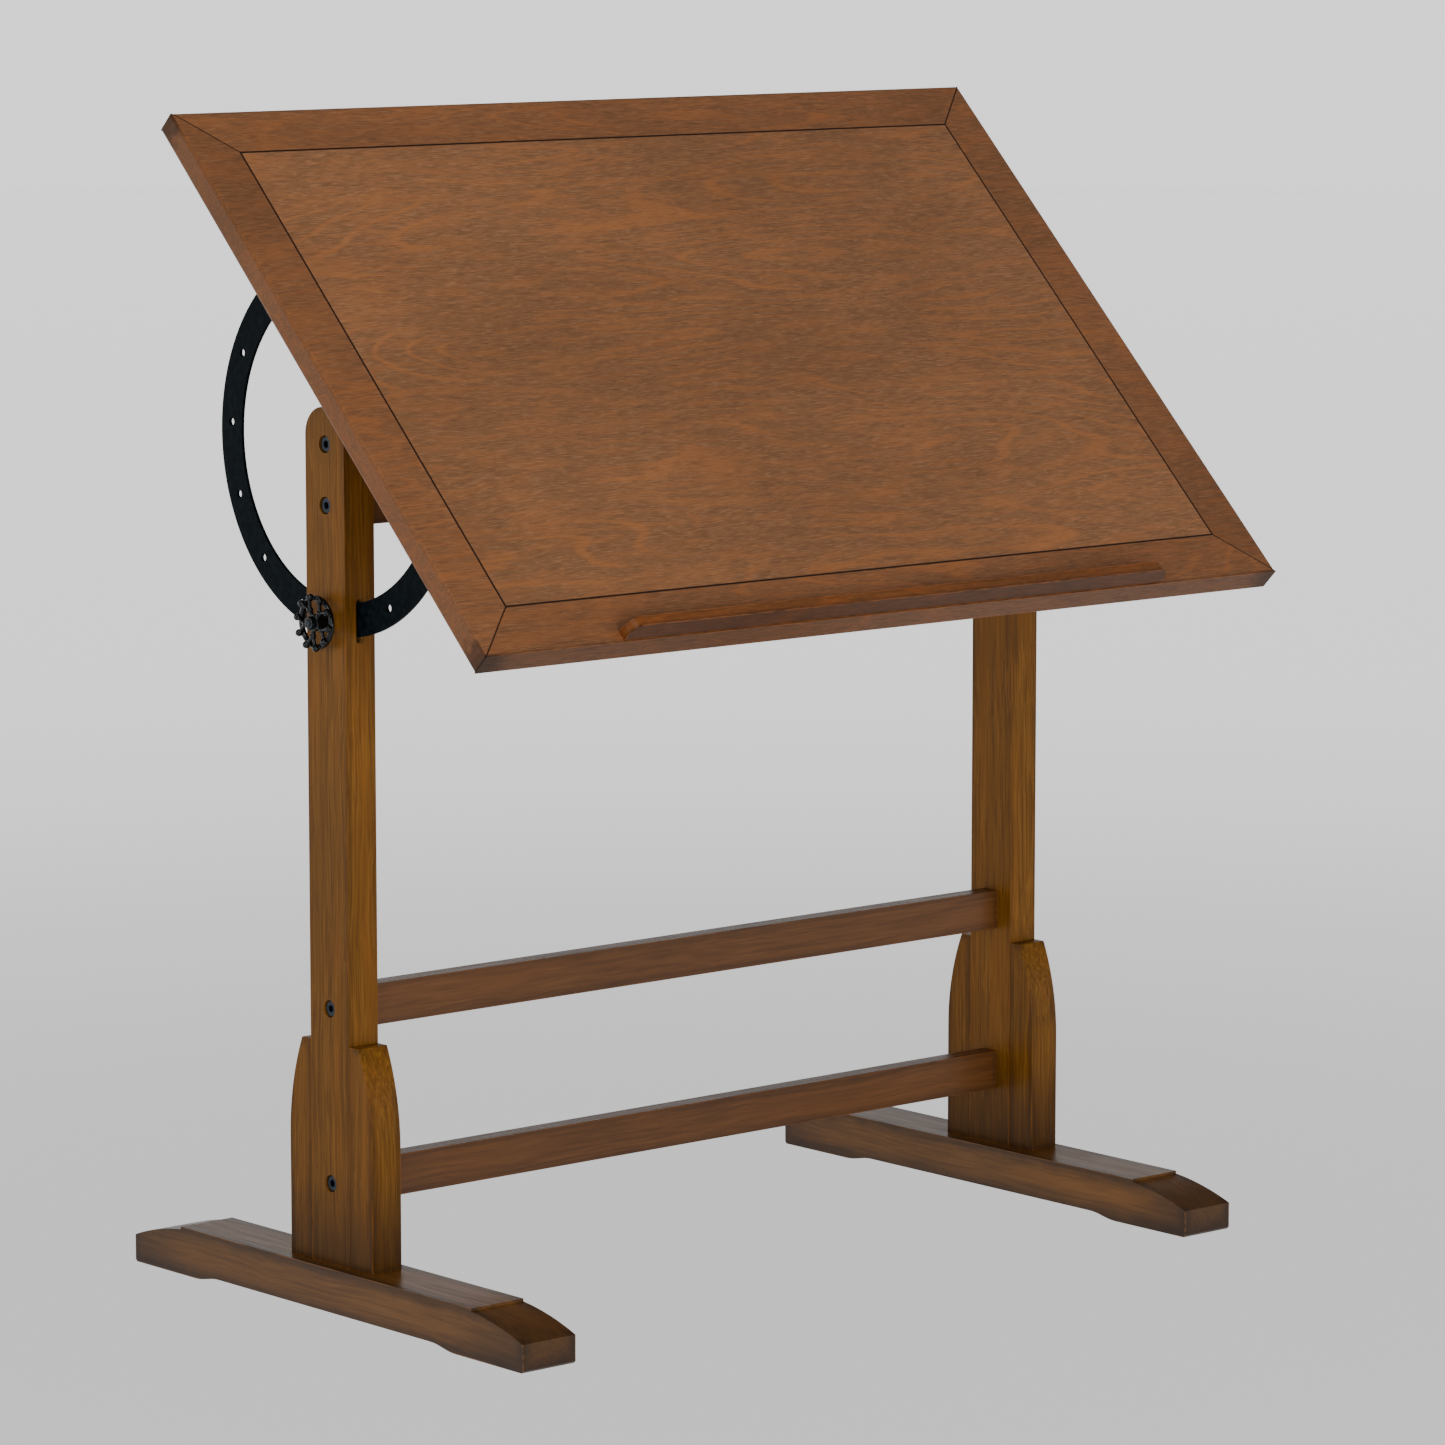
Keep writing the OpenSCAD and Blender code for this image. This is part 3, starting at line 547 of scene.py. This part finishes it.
def make_top():
    low, high = limits([p for board in TOP_BOARDS for p in cad_points(board, TOP_FRAME)])

    def rim_width(middle):
        """Wide rounding on the top's outside edges, a fine one on every other edge."""
        p = TOP_FRAME @ middle
        on_rim = min(p.x - low.x, high.x - p.x, p.y - low.y, high.y - p.y) < RIM_NEAR
        on_face = p.z > high.z - RIM_NEAR or p.z < low.z + RIM_NEAR
        return RIM_RADIUS if on_rim and on_face else JOINT_RADIUS

    for number, board in enumerate(TOP_BOARDS):
        tint = DARK_TINT if board in DARK_BOARDS else PALE_TINT
        # Painted shade: the boards' front faces are darkened to stand in for the shade they are in.
        shader = wood(board, TOP_FRAME, X, seed=31 + number, edge_tone=0.0,
                      toning_and_shade=front_painted_shade(low.y, 0.4), shade=(tint, tint, tint))
        eased(board, shader, width_of=rim_width, segments=4)
    ledge_front = limits(cad_points("pencil_ledge", TOP_FRAME))[0].y
    # Painted shade: the ledge's front face is darkened strongly to stand in for the shadow it sits in.
    shader = wood("pencil_ledge", TOP_FRAME, X, seed=41, edge_tone=0.15, edge_reach=4 * MM,
                  toning_and_shade=front_painted_shade(ledge_front, 0.75), shade=LEDGE_TINT)
    eased("pencil_ledge", shader, 1.8 * MM, segments=4)
    for number, side in enumerate(SIDES):
        cheek = side + "_tilt_cheek"
        shader = wood(cheek, TOP_FRAME, Y, seed=43 + number, edge_tone=0.3, edge_reach=8 * MM)
        eased(cheek, shader, 1.5 * MM)
        arc = side + "_tilt_arc"
        eased(arc, METALS[NODE_SLOT[arc]], 0.45 * MM, segments=2)
    eased("border_splines", wood("border_splines", TOP_FRAME, X, seed=47), 0.3 * MM)


# ---- Handwheels and fasteners ----

def make_handwheel(side):
    """A cast wheel: the CAD wheel's bars and lobes run into each other with soft fillets."""
    node = side + "_handwheel"
    piece = copy_of(node)
    melt = piece.modifiers.new("cast", "REMESH")
    melt.mode = "VOXEL"
    melt.voxel_size = 0.36 * MM
    soften = piece.modifiers.new("fillets", "SMOOTH")
    soften.factor = 0.5
    soften.iterations = 5
    dg = bpy.context.evaluated_depsgraph_get()
    cast = bpy.data.meshes.new_from_object(piece.evaluated_get(dg))
    piece.modifiers.clear()
    piece.data = cast
    cast.name = node + "_mesh"
    smooth(piece, 180)
    stand_for(piece, node, METALS[NODE_SLOT[node]])


# The radius of the edges of each small piece, in mm
SMALL_RADII = {
    "rail_bolts": 0.5, "left_pivot_bolt": 0.5, "right_pivot_bolt": 0.5,
    "left_wheel_nut": 0.5, "right_wheel_nut": 0.5, "left_pivot_nut": 0.5,
    "right_pivot_nut": 0.5, "left_clamp_washer": 0.3, "right_clamp_washer": 0.3,
    "left_pivot_washers": 0.3, "right_pivot_washers": 0.3, "foot_washers": 0.3,
    "foot_bolts": 0.4, "wing_screws": 0.3, "cheek_screws": 0.3, "arc_screws": 0.3,
    "ledge_screws": 0.3, "left_clamp_screw": 0.5, "right_clamp_screw": 0.5,
    "rail_barrel_nuts": 0.4, "left_clamp_insert": 0.3, "right_clamp_insert": 0.3,
    "left_pivot_bush": 0.3, "right_pivot_bush": 0.3,
}


def make_hardware():
    for node, radius in SMALL_RADII.items():
        eased(node, METALS[NODE_SLOT[node]], radius * MM, segments=2)
    eased("rail_dowels", wood("rail_dowels", STAND_FRAME, X, seed=53), 0.5 * MM)
    for side in SIDES:
        make_handwheel(side)


# ---- Floor ----

FLOOR_RADIUS = 17.0
FLOOR_BEND = 2.0
WALL_HEIGHT = 5.0
FLOOR_SIDES = 120
# The floor lies this far below the feet
FLOOR_GAP = 0.2 * MM
# How brightly the floor glows beside the table, and how much more of it far away
NEAR_GLOW = 0.84
FAR_GLOW = 0.42


def make_floor():
    """A round pale floor that curves up into a low wall, far outside every camera's place."""
    profile = [(FLOOR_RADIUS, 0.0)]
    profile += [(FLOOR_RADIUS + FLOOR_BEND * math.sin(t), FLOOR_BEND - FLOOR_BEND * math.cos(t))
                for t in (math.radians(a) for a in range(9, 91, 9))]
    profile.append((FLOOR_RADIUS + FLOOR_BEND, WALL_HEIGHT))
    turns = [2 * math.pi * i / FLOOR_SIDES for i in range(FLOOR_SIDES)]
    points = [(r * math.cos(a), r * math.sin(a), z - FLOOR_GAP) for r, z in profile for a in turns]
    faces = [tuple(range(FLOOR_SIDES))]
    for ring in range(0, len(points) - FLOOR_SIDES, FLOOR_SIDES):
        above = ring + FLOOR_SIDES
        for i in range(FLOOR_SIDES):
            j = (i + 1) % FLOOR_SIDES
            faces.append((ring + i, ring + j, above + j, above + i))
    mesh = bpy.data.meshes.new("floor")
    mesh.from_pydata(points, [], faces)
    mesh.polygons.foreach_set("use_smooth", [True] * len(faces))
    floor = bpy.data.objects.new("floor", mesh)
    bpy.context.scene.collection.objects.link(floor)
    s = Shader("pale_floor")
    place = s.place(STAND_FRAME)
    away = s.node("ShaderNodeVectorMath", Vector=place)
    away.operation = "LENGTH"
    far = s.ramp(away.outputs["Value"], 0.6, 4.0)
    tint = s.mix(s.noise(place, 3.0, 3.0), (0.72, 0.72, 0.72, 1), (0.76, 0.76, 0.76, 1))
    tint = s.mix(far, tint, (0.2, 0.2, 0.2, 1))
    s.set(Base_Color=tint, Roughness=0.75, Specular_IOR_Level=0.0, Emission_Color=(1, 1, 1, 1),
          Emission_Strength=s.math("MULTIPLY_ADD", far, FAR_GLOW, NEAR_GLOW))
    mesh.materials.append(s.material)


make_stand()
make_top()
make_hardware()
make_floor()
